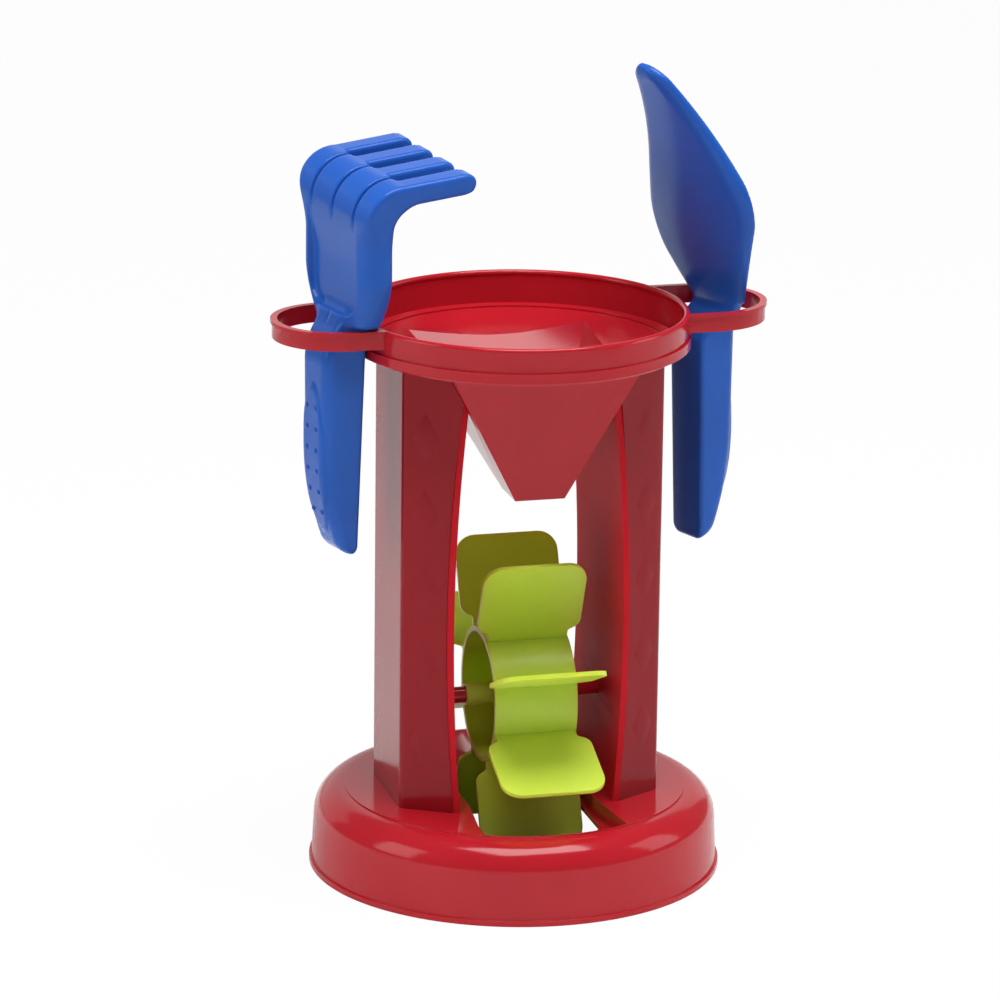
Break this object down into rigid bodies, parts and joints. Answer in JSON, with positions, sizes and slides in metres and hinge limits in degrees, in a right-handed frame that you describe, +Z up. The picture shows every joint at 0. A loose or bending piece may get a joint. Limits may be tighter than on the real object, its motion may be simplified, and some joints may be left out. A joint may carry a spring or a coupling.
{
  "type": "sand wheel toy",
  "caption": "Sand wheel toy: a round tray with a funnel pours sand on a paddle wheel between two columns; a rake and a shovel hang in the tray's ears.",
  "frame": {"origin": "on the floor under the middle of the base", "axes": "+Z up, X along the wheel's axle with the shovel on +X, -Y is the front where the funnel pours"},
  "size_m": [0.2138, 0.176, 0.3442],
  "materials": {
    "red": "glossy injection-moulded plastic",
    "lime": "glossy injection-moulded plastic",
    "blue": "glossy injection-moulded plastic"
  },
  "bodies": {
    "tower": {"base": "red", "column_left": "red", "column_right": "red", "cheek_left": "red", "cheek_right": "red", "tray": "red", "axle": "red"},
    "paddle_wheel": {"wheel": "lime"},
    "hung_rake": {"rake": "blue"},
    "hung_shovel": {"shovel": "blue"}
  },
  "joints": [
    {"name": "wheel_spin", "type": "hinge", "parent": "tower", "child": "paddle_wheel", "pos_m": [0, 0, 0.075], "axis": [1, 0, 0], "continuous": true},
    {"name": "rake_lift", "type": "slide", "parent": "tower", "child": "hung_rake", "axis": [0, 0, 1], "range_m": [0, 0.105]},
    {"name": "shovel_lift", "type": "slide", "parent": "tower", "child": "hung_shovel", "axis": [0, 0, 1], "range_m": [0, 0.11]}
  ]
}
